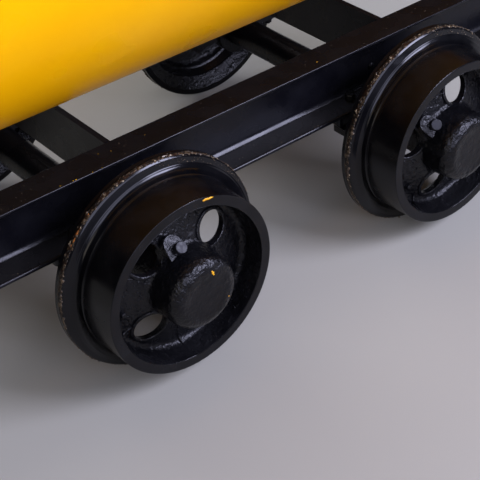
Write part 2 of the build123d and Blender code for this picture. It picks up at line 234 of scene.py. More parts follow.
def noiseOf(tree, place, scale, detail=2.0):
    values = {"Vector": place, "Scale": scale, "Detail": detail}
    return addNode(tree, "ShaderNodeTexNoise", None, values).outputs["Fac"]


def ramp(tree, value, low, high, first=0.0, last=1.0):
    values = {"Value": value, "From Min": low, "From Max": high, "To Min": first, "To Max": last}
    return addNode(tree, "ShaderNodeMapRange", None, values).outputs["Result"]


def speckle(tree, place, grain, low, high, detail=2.0):
    # a 0 to 1 mask of spots whose size is about grain, in metres
    return ramp(tree, noiseOf(tree, place, 0.5 / grain, detail), low, high)


def blendColour(tree, share, first, second):
    # mixes two colours, each a hex code or a socket
    links = {"Factor": share}
    for key, value in ((6, first), (7, second)):
        links[key] = linear(value) if isinstance(value, str) else value
    return addNode(tree, "ShaderNodeMix", {"data_type": "RGBA"}, links).outputs[2]


def blendNormal(tree, share, facing):
    # turns the surface's own normal over to another one
    plain = addNode(tree, "ShaderNodeNewGeometry").outputs["Normal"]
    links = {0: share, 4: plain, 5: facing}
    mixed = addNode(tree, "ShaderNodeMix", {"data_type": "VECTOR"}, links).outputs[1]
    return addNode(tree, "ShaderNodeVectorMath", {"operation": "NORMALIZE"}, {0: mixed}).outputs[0]


def relief(tree, shader, height, strength, distance, base=None):
    values = {"Height": height, "Strength": strength, "Distance": distance}
    bump = addNode(tree, "ShaderNodeBump", None, values)
    if base:
        tree.links.new(base, bump.inputs["Normal"])
    tree.links.new(bump.outputs["Normal"], shader.inputs["Normal"])


makeFloor(floorSizes)
makeLights(lightSizes)
bpy.context.scene.view_settings.view_transform = "Standard"
print("stage: floor and lamps")


channelSizes = {
    "face": 0.2425,                # of the web's outer face, from the track's middle
    "root": (0.2446, 0.2492),      # between these distances the rolled root leans as one
    "rootFade": (0.0002, 0.0006),
    "rootHeights": (0.2700, 0.2830),    # only the lower root
    "heightFade": 0.0005,
    "lean": (38.0, 47.0),          # how far it leans back from upright, in degrees
}


def rolledRoot(tree, sizes, place):
    # the rolls left the channel's lower inside corner nearly flat, so it takes one broad glint
    split = axesOf(tree, place)
    aside = calc(tree, "ABSOLUTE", split["Y"])
    inner, outer = sizes["root"]
    innerFade, outerFade = sizes["rootFade"]
    low, high = sizes["rootHeights"]
    fade = sizes["heightFade"]
    lean = calc(tree, "RADIANS", ramp(tree, aside, inner, outer, *sizes["lean"]))
    facing = addNode(tree, "ShaderNodeCombineXYZ", None, {
        "Y": times(tree, calc(tree, "COSINE", lean), calc(tree, "SIGN", split["Y"])),
        "Z": calc(tree, "SINE", lean)}).outputs[0]
    share = ramp(tree, aside, inner - innerFade, inner)
    share = times(tree, share, ramp(tree, aside, outer + outerFade, outer))
    share = times(tree, share, ramp(tree, split["Z"], high, high - fade))
    share = times(tree, share, ramp(tree, split["Z"], low, low + fade))
    return blendNormal(tree, share, facing)


def makeChannelPaint(sizes):
    # Gloss alkyd paint brushed on hot-rolled channel: almost black with a blue cast, blurred
    # reflections, faint waves of the rolled surface, a few grains of grit on what faces up, and
    # there a thin warm brown film that is partly dust and partly a painted reflection of the yellow tub.
    material, tree, shader = newMaterial("glossPaintOnRolledSteel")
    place = objectPlace(tree)
    facing = axesOf(tree, addNode(tree, "ShaderNodeTexCoord").outputs["Normal"])
    upward = ramp(tree, facing["Z"], 0.80, 0.98)
    cloud = speckle(tree, place, 0.030, 0.35, 0.75)
    tone = blendColour(tree, cloud, "#09090d", "#101014")
    grit = times(tree, upward, speckle(tree, place, 0.0022, 0.70, 0.76, 4.0))
    # what faces up takes a warm brown film: partly dust, partly a painted reflection of the yellow tub above
    film = times(tree, upward, 0.25)
    dustAndTubReflection = blendColour(tree, film, tone, "#1a160a")
    tree.links.new(blendColour(tree, grit, dustAndTubReflection, "#6b5c45"), shader.inputs["Base Color"])
    rough = ramp(tree, cloud, 0.0, 1.0, 0.24, 0.34)
    tree.links.new(plus(tree, rough, times(tree, grit, 0.4)), shader.inputs["Roughness"])
    waves = times(tree, noiseOf(tree, place, 14.0, 1.0), 3.0)
    height = plus(tree, waves, noiseOf(tree, place, 180.0, 3.0))
    relief(tree, shader, height, 0.22, 0.0006, rolledRoot(tree, sizes, place))
    shader.inputs["Specular IOR Level"].default_value = 0.22
    return material


wheelSizes = {
    "halfBase": 0.335, "axleHeight": 0.210,
    "outerFace": 462,              # of the wheel, from the track's middle, in mm
    "dish": 0.1555,                # inside this radius the casting is raw under its paint
    "rim": 0.2098,                 # outside this radius the flange is raw and rusty
    "flangeFront": 0.3665,         # the flange's turned face lies outside this distance
    "foot": 0.1786,                # radius at which its turned hollow starts
    "hollowEnd": (0.2103, 0.2101),
    "leanAtFoot": 82.0,            # how far the hollow's surface faces away from the axle, in degrees
    # from radius, to radius, and what the lean changes by, as the lathe left it
    "hollow": [(0.1835, 0.1880, -28), (0.1880, 0.1935, -16), (0.1935, 0.1955, -14), (0.1955, 0.1975, 18),
               (0.1975, 0.1995, -30), (0.2060, 0.2074, 25), (0.2074, 0.2098, 8)],
    "crustBack": 0.3570,           # distance from the track's middle where the rim's crust ends
    "back": (0.3655, 0.3635),      # the wheel's back is raw inside these distances and radii
    "backRim": (0.1975, 0.1965),
    "cap": (0.036, 0.052),         # radii between which the rubbed cap turns into raw casting
}


def turnedHollow(tree, sizes, split, along, height, radius):
    # the way the flange's front face looks: a wide hollow up from the tread, a fine line and a flat
    lean = sizes["leanAtFoot"]
    for low, high, change in sizes["hollow"]:
        lean = plus(tree, ramp(tree, radius, low, high, 0.0, change), lean)
    lean = calc(tree, "RADIANS", lean)
    away = calc(tree, "DIVIDE", calc(tree, "SINE", lean), radius)
    along = times(tree, along, calc(tree, "SIGN", split["X"]))
    facing = addNode(tree, "ShaderNodeCombineXYZ", None, {
        "X": times(tree, away, along),
        "Y": times(tree, calc(tree, "COSINE", lean), calc(tree, "SIGN", split["Y"])),
        "Z": times(tree, away, height)}).outputs[0]
    spaces = {"vector_type": "NORMAL", "convert_from": "OBJECT", "convert_to": "WORLD"}
    facing = addNode(tree, "ShaderNodeVectorTransform", spaces, {"Vector": facing}).outputs[0]
    foot, front = sizes["foot"], sizes["flangeFront"]
    share = times(tree, ramp(tree, radius, foot, foot + 0.001), ramp(tree, radius, *sizes["hollowEnd"]))
    outside = ramp(tree, calc(tree, "ABSOLUTE", split["Y"]), front - 0.0005, front)
    share = times(tree, share, outside)
    return blendNormal(tree, share, facing), share


def makeWheelPaint(sizes):
    # Gloss black dip paint on cast steel. The tread, flange face and rim ring were turned,
    # so they mirror softly; the dish keeps the sand casting's lumps; the flange rim is raw.
    material, tree, shader = newMaterial("glossPaintOnCastSteel")
    place = objectPlace(tree)
    split = axesOf(tree, place)
    along = calc(tree, "SUBTRACT", calc(tree, "ABSOLUTE", split["X"]), sizes["halfBase"])
    height = calc(tree, "SUBTRACT", split["Z"], sizes["axleHeight"])
    square = plus(tree, times(tree, along, along), times(tree, height, height))
    radius = calc(tree, "SQRT", square)
    turned, onFace = turnedHollow(tree, sizes, split, along, height, radius)
    raw = ramp(tree, radius, sizes["dish"] + 0.002, sizes["dish"] - 0.001)
    aside = calc(tree, "ABSOLUTE", split["Y"])
    back = times(tree, ramp(tree, aside, *sizes["back"]), ramp(tree, radius, *sizes["backRim"]))
    raw = calc(tree, "MAXIMUM", raw, back)
    edge = ramp(tree, radius, sizes["rim"] - 0.0001, sizes["rim"] + 0.0001)
    edge = times(tree, edge, ramp(tree, aside, sizes["crustBack"] - 0.003, sizes["crustBack"] + 0.001))
    cloud = speckle(tree, place, 0.020, 0.35, 0.70)
    tone = blendColour(tree, cloud, "#070709", "#0e0e10")
    rust = speckle(tree, place, 0.004, 0.50, 0.64, 4.0)
    rusty = blendColour(tree, rust, "#110e0c", "#2e1d12")
    tree.links.new(blendColour(tree, edge, tone, rusty), shader.inputs["Base Color"])
    smooth = ramp(tree, cloud, 0.0, 1.0, 0.20, 0.29)
    rough = plus(tree, smooth, times(tree, raw, 0.02))
    rough = calc(tree, "SUBTRACT", rough, times(tree, onFace, 0.10))
    tree.links.new(plus(tree, rough, times(tree, edge, 0.30)), shader.inputs["Roughness"])
    # fine and coarse lumps of the sand mould
    coarse = times(tree, noiseOf(tree, place, 75.0, 1.0), 1.7)
    sand = plus(tree, noiseOf(tree, place, 210.0, 3.0), coarse)
    # the hub's cap was rubbed down, so its face is calmer
    rubbed = times(tree, raw, ramp(tree, radius, *sizes["cap"], 0.35, 1.0))
    lumps = times(tree, sand, plus(tree, rubbed, times(tree, edge, 0.8)))
    height = plus(tree, lumps, times(tree, noiseOf(tree, place, 24.0), 0.10))
    relief(tree, shader, height, 1.0, 0.0019, turned)
    shader.inputs["Specular IOR Level"].default_value = 0.24
    return material


tubSizes = {
    "axis": 0.909, "inside": 0.4552, "endInside": 0.6452,    # where the trough's inner faces are
    "end": 0.650, "radius": 0.460, "wallTop": 1.249,
    "rim": 0.045, "bar": 0.008, "barHalf": 0.035, "flange": 0.110,
    "dust": (0.05, 0.42),    # depths under the axis between which the dust grows thicker
}


def insideOfTub(tree, sizes, split):
    # 1 inside the trough or between its upright walls, else 0
    aside = split["Y"]
    below = calc(tree, "MINIMUM", calc(tree, "SUBTRACT", split["Z"], sizes["axis"]), 0.0)
    reach = calc(tree, "SQRT", plus(tree, times(tree, aside, aside), times(tree, below, below)))
    inner = calc(tree, "LESS_THAN", reach, sizes["inside"])
    along = calc(tree, "ABSOLUTE", split["X"])
    return times(tree, inner, calc(tree, "LESS_THAN", along, sizes["endInside"]))


def makeTubPaint(sizes):
    # Gloss yellow enamel sprayed on bent steel plate: deep colour and soft wide reflections
    # outside, and inside a thin film of dust that has settled towards the bottom.
    material, tree, shader = newMaterial("glossYellowEnamel")
    place = objectPlace(tree)
    cloud = speckle(tree, place, 0.060, 0.35, 0.70)
    split = axesOf(tree, place)
    first, last = sizes["dust"]
    deep = ramp(tree, split["Z"], sizes["axis"] - first, sizes["axis"] - last)
    dust = times(tree, speckle(tree, place, 0.090, 0.20, 0.80, 5.0), ramp(tree, deep, 0.0, 1.0, 0.10, 0.45))
    dust = times(tree, dust, insideOfTub(tree, sizes, split))
    enamel = blendColour(tree, cloud, "#fab903", "#f6b302")
    tree.links.new(blendColour(tree, dust, enamel, "#a78a55"), shader.inputs["Base Color"])
    rough = ramp(tree, cloud, 0.0, 1.0, 0.26, 0.36)
    tree.links.new(plus(tree, rough, times(tree, dust, 0.35)), shader.inputs["Roughness"])
    waves = times(tree, noiseOf(tree, place, 9.0, 1.0), 4.0)
    height = plus(tree, waves, times(tree, noiseOf(tree, place, 220.0), 0.4))
    relief(tree, shader, height, 0.2, 0.0006)
    shader.inputs["Specular IOR Level"].default_value = 0.10
    return material


def makePlugPaint():
    # A pressed steel plug under the wheel's paint, rubbed grey where the grease gun meets it.
    material, tree, shader = newMaterial("rubbedPaintOnSteelPlug")
    place = objectPlace(tree)
    worn = speckle(tree, place, 0.0040, 0.40, 0.65, 3.0)
    tree.links.new(blendColour(tree, worn, "#0e0e11", "#1f1f25"), shader.inputs["Base Color"])
    tree.links.new(ramp(tree, worn, 0.0, 1.0, 0.34, 0.50), shader.inputs["Roughness"])
    shader.inputs["Specular IOR Level"].default_value = 0.20
    relief(tree, shader, noiseOf(tree, place, 260.0), 0.5, 0.0008)
    return material


def makeCrustMatter():
    # Scale, rust and floor grit caked in the paint of the flange rims: dull, brown to straw,
    # each grain coloured by where it lies.
    material, tree, shader = newMaterial("rustAndGritCrust")
    place = objectPlace(tree)
    brown = blendColour(tree, speckle(tree, place, 0.0030, 0.38, 0.54, 1.0), "#1a140d", "#51432f")
    straw = speckle(tree, place, 0.0036, 0.63, 0.69, 1.0)
    tree.links.new(blendColour(tree, straw, brown, "#a39478"), shader.inputs["Base Color"])
    tree.links.new(ramp(tree, straw, 0.0, 1.0, 0.45, 0.75), shader.inputs["Roughness"])
    relief(tree, shader, noiseOf(tree, place, 900.0), 0.6, 0.0006)
    return material


def makeSplashPaint():
    # Drops of the tub's enamel that fell on the black parts while it was sprayed.
    material, tree, shader = newMaterial("droppedYellowEnamel")
    place = objectPlace(tree)
    cloud = speckle(tree, place, 0.002, 0.45, 0.6)
    tree.links.new(blendColour(tree, cloud, "#e0a010", "#f2b21c"), shader.inputs["Base Color"])
    shader.inputs["Roughness"].default_value = 0.35
    return material


channelPaint = makeChannelPaint(channelSizes)
wheelPaint = makeWheelPaint(wheelSizes)
tubPaint = makeTubPaint(tubSizes)
plugPaint = makePlugPaint()
crustMatter = makeCrustMatter()
splashPaint = makeSplashPaint()
slotMaterials = {
    "black_frame": channelPaint,
    "black_wheel": wheelPaint,
    "yellow_tub": tubPaint,
    "grey_plug": plugPaint,
}
for part in frame["record"]["subparts"]:
    node = nodes[part["node"]]
    node.data.materials.clear()
    node.data.materials.append(slotMaterials[part["material_slot"]])
print("materials:", len(slotMaterials), "for the CAD nodes")


# Wheels: crust, grit and casting ridges
# A place on a wheel is its distance from the axle, its angle from +X towards +Z, and its
# height out of the wheel's outer face, in millimetres and degrees on the near rear wheel.

def onWheel(end, side, radius, angle, height):
    turned = math.radians(angle)
    x = end * wheelSizes["halfBase"] - side * radius * math.cos(turned) / 1000
    y = side * (wheelSizes["outerFace"] + height) / 1000
    return Vector((x, y, wheelSizes["axleHeight"] + radius * math.sin(turned) / 1000))


crustSizes = {
    "grains": 1500,
    "smallest": 0.0006, "largest": 0.0030,
    "radius": 210.0,              # of the flange rim, in mm
    "band": (-108.0, -95.2),      # heights that the crust covers
    "bare": 10.0,                 # degrees each side of the lowest point that stay clean
    "atCorner": 0.75, "fade": 4.0,      # the share along the rim's front corner, and its spread in mm
    "stretch": ((0.8, 1.7), (0.7, 1.3), (0.5, 0.9)),
    # finer specks on the flange's bevelled face, at these angles
    "specks": 90, "speckAngles": (28, 88), "speckSizes": (0.0004, 0.0010),
    "bevel": (199.0, 209.0, -84.6, 0.913),    # its radii, its height at the first, and its fall per mm
    "seed": 41,
}


def scattered(grain, places):
    # the shaped grain copied to each place, all of them one mesh
    copies = [copyOf(grain, place) for place in places]
    bpy.data.objects.remove(grain)
    piece = joined(copies)
    bpy.ops.object.transform_apply(location=True, rotation=True, scale=True)
    return piece


def makeCrust(sizes):
    # grains over the rim of the near rear wheel
    bpy.ops.mesh.primitive_ico_sphere_add(subdivisions=1, radius=1.0, location=(0, 0, 0))
    grain = bpy.context.object
    pick(grain, "vertices", lambda v: v.co.z > 0.3)
    bpy.ops.transform.translate(value=(0.25, -0.1, -0.15))
    bpy.ops.object.mode_set(mode="OBJECT")
    chance = random.Random(sizes["seed"])
    places = []
    low, high = sizes["band"]
    while len(places) < sizes["grains"]:
        angle = chance.uniform(0, 360)
        if abs((angle - 270 + 180) % 360 - 180) < sizes["bare"]:
            continue
        # the crust sits in clumps
        clump = 0.5 + 0.5 * math.sin(angle * 0.31) * math.sin(angle * 0.097 + 1.3)
        if chance.random() > 0.35 + 0.65 * clump:
            continue
        atCorner = chance.random() < sizes["atCorner"]
        height = high - abs(chance.gauss(0, sizes["fade"])) if atCorner else chance.uniform(low + 1, high)
        if height < low + 1:
            continue
        size = sizes["smallest"] + (sizes["largest"] - sizes["smallest"]) * chance.random() ** 2.6
        radius = sizes["radius"] - 0.3 * size * 1000
        spot = onWheel(-1, -1, radius, angle, height)
        spin = chance.uniform(0, 6.28)
        turn = Matrix.Rotation(spin, 4, Vector((chance.random(), chance.random(), 0.2)).normalized())
        stretch = Matrix.Diagonal((*(chance.uniform(*span) for span in sizes["stretch"]), 1.0))
        flat = Matrix.Rotation(math.radians(90 - angle), 4, "Y")
        places.append(Matrix.Translation(spot) @ flat @ stretch @ turn @ Matrix.Scale(size, 4))
    inner, outer, base, fall = sizes["bevel"]
    for number in range(sizes["specks"]):
        radius = chance.uniform(inner, outer)
        angle = chance.uniform(*sizes["speckAngles"])
        spot = onWheel(-1, -1, radius, angle, base - fall * (radius - inner))
        size = chance.uniform(*sizes["speckSizes"])
        places.append(Matrix.Translation(spot) @ Matrix.Scale(size, 4))
    return scattered(grain, places)


def onEveryWheel(piece, name, material, turns):
    # the near rear wheel's piece, copied to the others and turned with their castings
    middle = Vector((-wheelSizes["halfBase"], 0, wheelSizes["axleHeight"]))
    for (endName, sideName), angle in turns.items():
        end, side = ends[endName], sides[sideName]
        target = Vector((end * wheelSizes["halfBase"], 0, wheelSizes["axleHeight"]))
        roll = Matrix.Rotation(math.radians(-angle), 4, "Y")
        face = Matrix.Identity(4) if side < 0 else Matrix.Rotation(math.pi, 4, "Z")
        twin = copyOf(piece, Matrix.Translation(target) @ face @ roll @ Matrix.Translation(-middle))
        finished(twin, f"{name}_{endName}_{sideName}", material, f"wheelset_{endName}")
    bpy.data.objects.remove(piece)


# how far each wheel's casting is turned about its axle, in degrees
castingTurns = {
    ("rear", "near"): 0.0, ("front", "near"): 32.0,
    ("rear", "far"): 25.0, ("front", "far"): 181.0,
}
upright = {key: 0.0 for key in castingTurns}
onEveryWheel(makeCrust(crustSizes), "rimCrust", crustMatter, upright)
print("wheels: crust on the flange rims")


gritSizes = {
    # grit that lies under the dish's paint: how many grains, and where, in mm on the wheel
    "web": 620, "webRadii": (86, 141),
    "webHeight": (-38.5, 103, 0.296),     # height at a radius, and its fall per mm
    # the holes and the boss, each with the reach around it that stays clear
    "clear": [(103, 43.6, 39), (103, 133.6, 39), (103, 223.6, 39), (103, 313.6, 39), (97, 104.5, 40)],
    "wall": 420, "wallHeights": (-36, -4),
    "wallRadius": (155.9, 0.0935),        # at the wheel's outer face, and its draft per mm
    "smallest": 0.0005, "largest": 0.0015,
    "seed": 12,
}


def flatSpot(radius, angle):
    return Vector((radius * math.cos(math.radians(angle)), radius * math.sin(math.radians(angle))))


def makeGrit(sizes):
    bpy.ops.mesh.primitive_ico_sphere_add(subdivisions=1, radius=1.0, location=(0, 0, 0))
    grain = bpy.context.object
    pick(grain, "vertices", lambda v: v.co.x > 0.3)
    bpy.ops.transform.translate(value=(0.2, 0.1, 0))
    bpy.ops.object.mode_set(mode="OBJECT")
    bpy.ops.object.shade_smooth()
    chance = random.Random(sizes["seed"])
    base, at, fall = sizes["webHeight"]
    mouth, draft = sizes["wallRadius"]
    spots = []
    while len(spots) < sizes["web"]:
        radius, angle = chance.uniform(*sizes["webRadii"]), chance.uniform(0, 360)
        flat = flatSpot(radius, angle)
        if all((flat - flatSpot(r, a)).length > reach for r, a, reach in sizes["clear"]):
            spots.append((radius, angle, base - fall * (radius - at)))
    for number in range(sizes["wall"]):
        height = chance.uniform(*sizes["wallHeights"])
        spots.append((mouth + draft * height, chance.uniform(0, 360), height))
    places = []
    for spot in spots:
        size = sizes["smallest"] + (sizes["largest"] - sizes["smallest"]) * chance.random() ** 2.0
        turn = Matrix.Rotation(chance.uniform(0, 6.28), 4, "Y")
        places.append(Matrix.Translation(onWheel(-1, -1, *spot)) @ turn @ Matrix.Scale(size, 4))
    return scattered(grain, places)


onEveryWheel(makeGrit(gritSizes), "castingGrit", wheelPaint, castingTurns)
print("wheels: grit in the dish")


ridgeSizes = {
    "reach": 2.2,      # radius of a ridge in mm, half of it sunk in the casting
    "ridges": [
        # radius, angle, height out of the outer face
        [(73, 183, -31), (78, 172, -33), (90, 159, -36), (100, 156, -39), (118, 155, -44), (138, 154, -48),
         (150, 153, -40), (153.5, 152, -20)],
        [(120, 208, -44), (138, 208, -48), (149, 207, -41), (153, 205, -24), (155, 203, -9)],
        [(90, 2, -36), (105, -4, -40), (122, -9, -45), (140, -13, -48)],
        [(74, 268, -31), (92, 262, -36), (118, 263, -43), (140, 266, -49), (151, 267, -38)],
    ],
    "stub": (125, 189, -44, 6.5, 7.0),    # the gate's stub: radius, angle, height, half width, reach
}


def tubeAlong(points, reach, ripple):
    # a round bead through points, with a share of its radius for each
    data = bpy.data.curves.new("bead", "CURVE")
    data.dimensions = "3D"
    data.bevel_depth = reach
    data.bevel_resolution = 1
    data.use_fill_caps = True
    spline = data.splines.new("POLY")
    spline.points.add(len(points) - 1)
    for point, spot, share in zip(spline.points, points, ripple):
        point.co = (*spot, 1)
        point.radius = share
    bead = bpy.data.objects.new("bead", data)
    bpy.context.scene.collection.objects.link(bead)
    activate(bead)
    bpy.ops.object.convert(target="MESH")
    bpy.ops.object.shade_smooth()
    return bpy.context.object


def smoothRow(points, parts):
    # a Catmull-Rom line through points
    row = []
    ahead = [points[0], *points, points[-1]]
    for a, b, c, d in zip(ahead, ahead[1:], ahead[2:], ahead[3:]):
        squared = 2 * a - 5 * b + 4 * c - d
        cubed = 3 * b - a - 3 * c + d
        for step in range(parts):
            t = step / parts
            row.append(0.5 * (2 * b + (c - a) * t + squared * t ** 2 + cubed * t ** 3))
    row.append(points[-1])
    return row


def makeRidges(sizes):
    pieces = []
    for ridge in sizes["ridges"]:
        row = smoothRow([onWheel(-1, -1, *spot) for spot in ridge], 6)
        inward = [min(1.0, (k + 1) / 6, (len(row) - k) / 6) for k in range(len(row))]
        taper = [0.35 + 0.65 * math.sin(math.pi * share / 2) for share in inward]
        pieces.append(tubeAlong(row, sizes["reach"] / 1000, taper))
    radius, angle, height, half, reach = sizes["stub"]
    spot = onWheel(-1, -1, radius, angle, height)
    bpy.ops.mesh.primitive_cylinder_add(vertices=20, radius=half / 1000, depth=2 * reach / 1000,
                                        location=spot, rotation=(math.pi / 2, 0, 0))
    stub = bpy.context.object
    pick(stub, "faces", lambda f: f.normal.z > 0.9)
    bpy.ops.transform.resize(value=(0.82, 0.82, 0.82))
    bpy.ops.mesh.bevel(offset=0.0018, segments=3, affect="EDGES")
    bpy.ops.object.mode_set(mode="OBJECT")
    bpy.ops.object.shade_smooth_by_angle(angle=0.7)
    pieces.append(stub)
    return joined(pieces)


onEveryWheel(makeRidges(ridgeSizes), "castingRidges", wheelPaint, castingTurns)
print("wheels: casting ridges")


# Bolts

boltSizes = {
    "flats": 0.018, "head": 0.0075, "chamfer": 0.0011,
    "washer": 0.0120, "washerThickness": 0.0022,
    "stud": 0.0056, "studReach": 0.0045,
    "baseShift": 0.050,       # bolts of a stand's base, from its middle
    "footShift": 0.106, "footY": 0.262,
    "keeperShift": 0.106, "keeperAside": 0.0205,
    "rivetX": 0.306, "rivetZ": 0.3105, "rivet": 0.0068, "rivetOut": 0.62,
    "seed": 7,
}
frameSizes = {
    "top": 0.403, "bottom": 0.263, "outerY": 0.299, "backY": 0.234, "middleY": 0.2665,
    "toeX": 0.755, "halfBase": wheelSizes["halfBase"], "axleHeight": wheelSizes["axleHeight"],
    "standBaseX": 0.708, "standBase": 0.012,
    "flangeUnderStand": 0.0100, "flangeAtFoot": 0.0104,    # the channel flange's thickness there
    "earTop": 0.016, "strap": 0.014,
}


def makeBolt(sizes, withStud):
    # hexagon and washer on the seat at z = 0, pointing up
    thick = sizes["washerThickness"]
    bpy.ops.mesh.primitive_cylinder_add(vertices=24, radius=sizes["washer"], depth=thick,
                                        location=(0, 0, thick / 2))
    washer = bpy.context.object
    pick(washer, "edges", lambda e: all(washer.data.vertices[v].co.z > 0 for v in e.vertices))
    bpy.ops.mesh.bevel(offset=0.0005, segments=1, affect="EDGES")
    bpy.ops.object.mode_set(mode="OBJECT")
    corner = sizes["flats"] / math.sqrt(3)
    bpy.ops.mesh.primitive_cylinder_add(vertices=6, radius=corner, depth=sizes["head"],
                                        location=(0, 0, thick + sizes["head"] / 2))
    head = bpy.context.object
    pick(head, "faces", lambda f: f.normal.z > 0.9)
    bpy.ops.mesh.bevel(offset=sizes["chamfer"], segments=2, affect="EDGES")
    bpy.ops.object.mode_set(mode="OBJECT")
    pieces = [washer, head]
    if withStud:
        # the stud starts 2 mm inside the nut
        middle = thick + sizes["head"] + sizes["studReach"] / 2 - 0.001
        bpy.ops.mesh.primitive_cylinder_add(vertices=16, radius=sizes["stud"],
                                            depth=sizes["studReach"] + 0.002, location=(0, 0, middle))
        stud = bpy.context.object
        pick(stud, "faces", lambda f: f.normal.z > 0.9)
        bpy.ops.mesh.bevel(offset=0.001, segments=1, affect="EDGES")
        bpy.ops.object.mode_set(mode="OBJECT")
        pieces.append(stud)
    bolt = joined(pieces)
    bpy.ops.object.transform_apply(location=True, rotation=True, scale=True)
    return bolt


def placeBolts(sizes, frameIn):
    headed, nutted = makeBolt(sizes, False), makeBolt(sizes, True)
    chance = random.Random(sizes["seed"])
    over = Matrix.Rotation(math.pi, 4, "X")

    def put(kind, x, y, z, under=False):
        spin = Matrix.Rotation(chance.uniform(0, math.pi / 3), 4, "Z")
        turn = (over if under else Matrix.Identity(4)) @ spin
        return copyOf(kind, Matrix.Translation((x, y, z)) @ turn)

    pieces = []
    for end in (-1, 1):
        for side in (-1, 1):
            for shift in (-1, 1):
                x = end * frameIn["standBaseX"] + shift * sizes["baseShift"]
                y = side * frameIn["middleY"]
                pieces.append(put(headed, x, y, frameIn["top"] + frameIn["standBase"]))
                pieces.append(put(nutted, x, y, frameIn["top"] - frameIn["flangeUnderStand"], True))
                x = end * frameIn["halfBase"] + shift * sizes["footShift"]
                foot = frameIn["bottom"] + frameIn["flangeAtFoot"]
                pieces.append(put(headed, x, side * sizes["footY"], foot))
                for aside in (-1, 1):
                    x = end * frameIn["halfBase"] + shift * sizes["keeperShift"]
                    y = side * frameIn["middleY"] + aside * sizes["keeperAside"]
                    pieces.append(put(headed, x, y, frameIn["axleHeight"] + frameIn["earTop"]))
                    pieces.append(put(nutted, x, y, frameIn["axleHeight"] - frameIn["strap"], True))
    bpy.data.objects.remove(headed)
    bpy.data.objects.remove(nutted)
    finished(joined(pieces), "frameBolts", channelPaint, "chassis")
    pieces = []
    for end in (-1, 1):
        for side in (-1, 1):
            spot = (end * sizes["rivetX"], side * channelSizes["face"], sizes["rivetZ"])
            bpy.ops.mesh.primitive_uv_sphere_add(segments=16, ring_count=8, radius=sizes["rivet"],
                                                 location=spot)
            rivet = bpy.context.object
            rivet.scale = (1.0, sizes["rivetOut"], 1.0)
            pick(rivet, "vertices", lambda v: True)
            bpy.ops.mesh.bisect(plane_co=spot, plane_no=(0, side, 0), clear_inner=True, use_fill=True)
            bpy.ops.object.mode_set(mode="OBJECT")
            bpy.ops.object.shade_smooth_by_angle(angle=0.7)
            pieces.append(rivet)
    finished(joined(pieces), "crossPlateRivets", channelPaint, "chassis")


placeBolts(boltSizes, frameSizes)
print("frame: bolts and rivets")


# Weld beads

weldSizes = {
    "step": 0.0036,      # from one ripple to the next
    "low": 0.86, "ends": 0.5, "uneven": (0.93, 1.05),    # shares of the bead's radius
    "seed": 5,
}


def weld(points, reach):
    # a bead along straight runs between points, with the ripple of a stick electrode
    chance = random.Random(weldSizes["seed"] + len(points))
    row = []
    for a, b in zip(points, points[1:]):
        a, b = Vector(a), Vector(b)
        count = max(1, round((b - a).length / weldSizes["step"]))
        row += [a.lerp(b, k / count) for k in range(count)]
    row.append(Vector(points[-1]))
    low = weldSizes["low"]
    ripple = [(1.0 if k % 2 else low) * chance.uniform(*weldSizes["uneven"]) for k in range(len(row))]
    ripple[0] = ripple[-1] = weldSizes["ends"]
    return tubeAlong(row, reach, ripple)


frameWeldSizes = {
    "webHalf": 0.006, "webLow": 0.295, "webHigh": 0.003,    # of a pedestal's web on the channel's back
    "inner": 0.004, "outer": 0.003, "sunk": 0.0012,         # of the seams between channel and end beam
    "endLow": 0.278, "endHigh": 0.388,
    "webBead": 0.0035, "flangeBead": 0.0032, "endBead": 0.0030,
}


def makeFrameWelds(sizes, frameIn):
    beads = []
    top, bottom = frameIn["top"], frameIn["bottom"]
    for end in (-1, 1):
        for side in (-1, 1):
            back = side * frameIn["backY"]
            for face in (-sizes["webHalf"], sizes["webHalf"]):
                x = end * frameIn["halfBase"] + face
                line = [(x, back, sizes["webLow"]), (x, back, top - sizes["webHigh"])]
                beads.append(weld(line, sizes["webBead"]))
            x = end * frameIn["toeX"]
            low = side * (frameIn["backY"] + sizes["inner"])
            high = side * (frameIn["outerY"] - sizes["outer"])
            for z in (top - sizes["sunk"], bottom + sizes["sunk"]):
                beads.append(weld([(x, low, z), (x, high, z)], sizes["flangeBead"]))
            beads.append(weld([(x, back, sizes["endLow"]), (x, back, sizes["endHigh"])], sizes["endBead"]))
    finished(joined(beads), "frameWelds", channelPaint, "chassis")


def ringPoints(x, radius, middle, first, last, parts):
    # points round the tub's axis on a plane across the track, degrees from +Y upwards
    turns = [math.radians(first + (last - first) * k / parts) for k in range(parts + 1)]
    return [(x, radius * math.cos(t), middle + radius * math.sin(t)) for t in turns]


tubWeldSizes = {
    "seamIn": 0.0026, "seamOut": 0.0002,      # where the seam of an end plate lies from its corner
    "proud": 0.0008, "under": 0.0005,         # how far a bead's middle is off its plate and past the edge
    "half": 0.03,                             # of a stitch's length
    "rimFirst": -0.56, "rimPitch": 0.16, "rimStitches": 8,
    "endStitches": (-0.36, -0.20, 0.20, 0.36),
    "uprightBar": ((0.54, 0.60), (0.66, 0.72), (0.80, 0.85), (0.97, 1.02), (1.09, 1.15)),    # heights
    "levelBar": ((0.15, 0.21), (0.27, 0.32)),      # distances from the middle
    "flangeOut": 0.0006, "flangeReach": 17,        # stitches round the trunnion's flange, in degrees
    # the long sides of a stop lug: distance from the middle and depth under the axis, twice
    "lugs": (((0.3576, 0.0030), (0.4080, 0.0184)), ((0.3520, 0.0200), (0.3960, 0.0334))),
    "seamBead": 0.0026, "edgeBead": 0.0032, "barBead": 0.0030,
}


